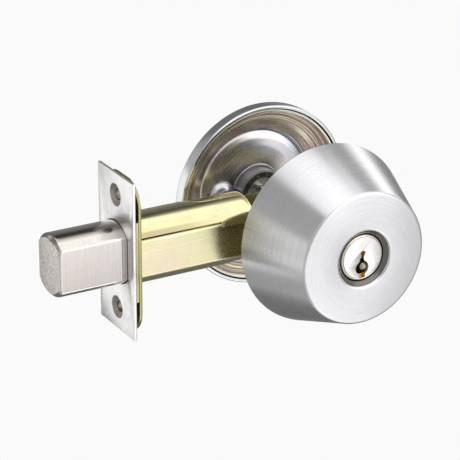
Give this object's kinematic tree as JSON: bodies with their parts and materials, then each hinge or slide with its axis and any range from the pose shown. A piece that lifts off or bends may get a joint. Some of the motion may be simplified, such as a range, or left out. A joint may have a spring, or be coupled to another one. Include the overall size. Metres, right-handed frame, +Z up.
{
  "type": "deadbolt door lock",
  "caption": "Single-cylinder deadbolt: tapered key cylinder, flat-sided bolt case with faceplate and thrown bolt, round rose with thumbturn.",
  "frame": {"origin": "where the turning axis through the door crosses the bolt centreline, at mid door thickness", "axes": "+X from the door edge into the door, so the bolt points to -X; -Y towards the key side, +Y towards the thumbturn side; +Z up"},
  "size_m": [0.129, 0.0989, 0.0674],
  "materials": {
    "satin_chrome_housing": "satin, turned",
    "collar_grey": "satin",
    "cylinder_brass": "machined",
    "cover_brass": "rolled strip",
    "pin_steel": "machined",
    "spring_steel": "drawn wire",
    "plate_dichromate": "zinc dichromate",
    "post_steel": "machined",
    "plug_nickel": "satin nickel",
    "pin_brass": "machined",
    "drill_pin_steel": "hardened",
    "cam_steel": "stamped",
    "cam_screw_steel": "plated",
    "tailpiece_steel": "stamped",
    "hub_zinc": "cast",
    "crank_pin_steel": "machined",
    "satin_stainless": "satin",
    "block_dichromate": "zinc dichromate",
    "backing_dichromate": "zinc dichromate",
    "tube_dichromate": "zinc dichromate",
    "sleeve_dichromate": "zinc dichromate",
    "channel_dichromate": "zinc dichromate",
    "rivet_steel": "plated",
    "detent_steel": "spring temper",
    "bolt_nickel": "plated steel",
    "tail_dichromate": "zinc dichromate",
    "tail_pin_steel": "machined",
    "roller_steel": "hardened",
    "satin_chrome_rose": "satin, turned",
    "ring_dichromate": "zinc dichromate, taupe",
    "dish_zinc": "zinc, semi bright",
    "bush_black": "moulded",
    "spindle_steel": "machined",
    "satin_chrome_turn": "satin",
    "clip_steel": "spring temper",
    "washer_steel": "spring temper",
    "screw_steel": "zinc plated"
  },
  "bodies": {
    "lock_body": {"cylinder_housing": "satin_chrome_housing", "cylinder_collar": "collar_grey", "cylinder_body": "cylinder_brass", "spring_cover": "cover_brass", "driver_pins": "pin_steel", "pin_springs": "spring_steel", "support_plate": "plate_dichromate", "mounting_posts": "post_steel", "faceplate": "satin_stainless", "front_block": "block_dichromate", "backing_plate": "backing_dichromate", "case_tube": "tube_dichromate", "case_sleeve": "sleeve_dichromate", "case_channel": "channel_dichromate", "case_rivets": "rivet_steel", "detent_spring": "detent_steel", "rose_trim": "satin_chrome_rose", "rose_plate": "ring_dichromate", "turn_dish": "dish_zinc", "turn_bushing": "bush_black", "wave_washer": "washer_steel", "mounting_screws": "screw_steel"},
    "bolt_unit": {"bolt": "bolt_nickel", "bolt_tail": "tail_dichromate", "tail_pin": "tail_pin_steel"},
    "roller": {"roller_insert": "roller_steel"},
    "hub_unit": {"crank_hub": "hub_zinc", "crank_pin": "crank_pin_steel", "tailpiece": "tailpiece_steel"},
    "turn_unit": {"thumbturn": "satin_chrome_turn", "turn_spindle": "spindle_steel", "turn_clip": "clip_steel"},
    "plug_unit": {"key_plug": "plug_nickel", "key_pins": "pin_brass", "drill_pin": "drill_pin_steel", "plug_cam": "cam_steel", "cam_screws": "cam_screw_steel"}
  },
  "joints": [
    {"name": "hub_turn", "type": "hinge", "parent": "lock_body", "child": "hub_unit", "pos_m": [0, 0, 0], "axis": [0, -1, 0], "range_deg": [0, 90]},
    {"name": "bolt_slide", "type": "slide", "parent": "lock_body", "child": "bolt_unit", "axis": [1, 0, 0], "range_m": [0, 0.0254]},
    {"name": "thumbturn_turn", "type": "hinge", "parent": "lock_body", "child": "turn_unit", "pos_m": [0, 0.02, 0], "axis": [0, -1, 0], "range_deg": [0, 90]},
    {"name": "plug_turn", "type": "hinge", "parent": "lock_body", "child": "plug_unit", "pos_m": [0, -0.03, 0], "axis": [0, -1, 0], "range_deg": [-90, 90]},
    {"name": "roller_spin", "type": "hinge", "parent": "bolt_unit", "child": "roller", "pos_m": [-0.08, 0, 0], "axis": [1, 0, 0], "continuous": true}
  ],
  "couplings": [
    {"joint": "hub_turn", "follows": "bolt_slide", "rad_per_m": 61.842},
    {"joint": "thumbturn_turn", "follows": "bolt_slide", "rad_per_m": 61.842}
  ]
}
